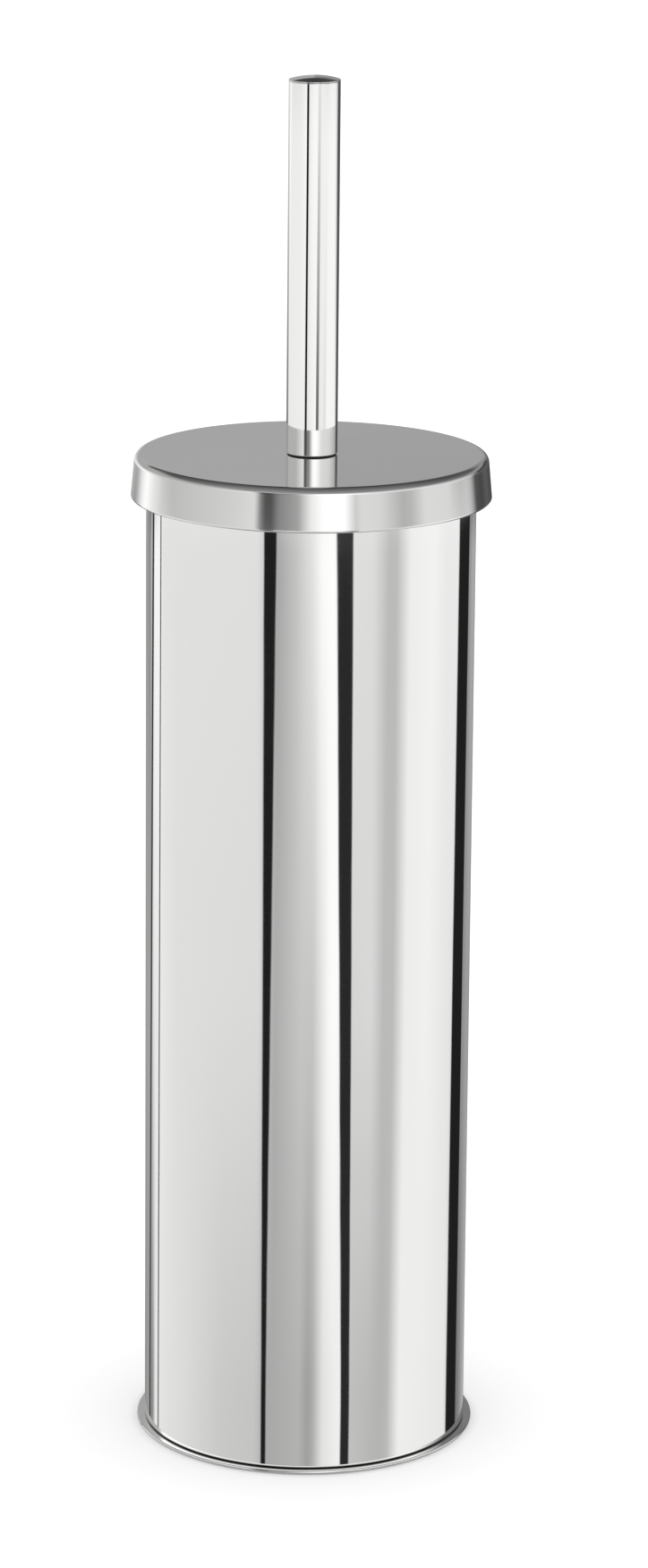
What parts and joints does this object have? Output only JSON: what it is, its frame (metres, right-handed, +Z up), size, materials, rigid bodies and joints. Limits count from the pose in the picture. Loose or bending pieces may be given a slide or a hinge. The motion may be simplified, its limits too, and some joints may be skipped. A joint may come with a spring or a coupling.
{
  "type": "toilet brush holder",
  "caption": "Tall round polished steel toilet brush holder with a flanged foot, a removable plastic liner, and a brush whose handle carries a flared pressed lid.",
  "frame": {"origin": "centre of the canister's foot ring, on the floor that the holder stands on", "axes": "+Z up along the canister, the stem and the handle; the object is turned about Z, so X and Y are alike, and -Y is taken as the front"},
  "size_m": [0.0984, 0.0984, 0.38],
  "materials": {
    "polished_steel": "mirror-polished stainless steel sheet and tube",
    "turned_steel": "machined and zinc-plated steel",
    "liner_plastic": "moulded satin polypropylene, off-white",
    "black_nylon": "moulded satin black nylon",
    "foot_rubber": "matt black rubber",
    "core_plastic": "moulded polypropylene, off-white",
    "bristle_fibre": "crimped nylon bristle, white"
  },
  "bodies": {
    "canister": {"foot_ring": "foot_rubber", "base_plate": "polished_steel", "outer_tube": "polished_steel"},
    "liner": {"liner_cup": "liner_plastic"},
    "brush": {"handle_tube": "polished_steel", "handle_cap": "polished_steel", "handle_insert": "turned_steel", "handle_stud": "turned_steel", "lid_washer": "black_nylon", "stem_plug": "turned_steel", "stem_tube": "polished_steel", "stem_tip": "turned_steel", "head_core": "core_plastic", "bristle_row_01": "bristle_fibre", "bristle_row_02": "bristle_fibre", "bristle_row_03": "bristle_fibre", "bristle_row_04": "bristle_fibre", "bristle_row_05": "bristle_fibre", "bristle_row_06": "bristle_fibre", "bristle_row_07": "bristle_fibre", "bristle_row_08": "bristle_fibre", "bristle_row_09": "bristle_fibre", "bristle_row_10": "bristle_fibre"},
    "lid": {"lid": "polished_steel", "lid_bush": "black_nylon"}
  },
  "joints": [
    {"name": "liner_lift", "type": "slide", "parent": "canister", "child": "liner", "axis": [0, 0, 1], "range_m": [0, 0.28]},
    {"name": "brush_lift", "type": "slide", "parent": "liner", "child": "brush", "axis": [0, 0, 1], "range_m": [0, 0.28]},
    {"name": "lid_turn", "type": "hinge", "parent": "brush", "child": "lid", "pos_m": [0, 0, 0.277], "axis": [0, 0, 1], "continuous": true}
  ]
}
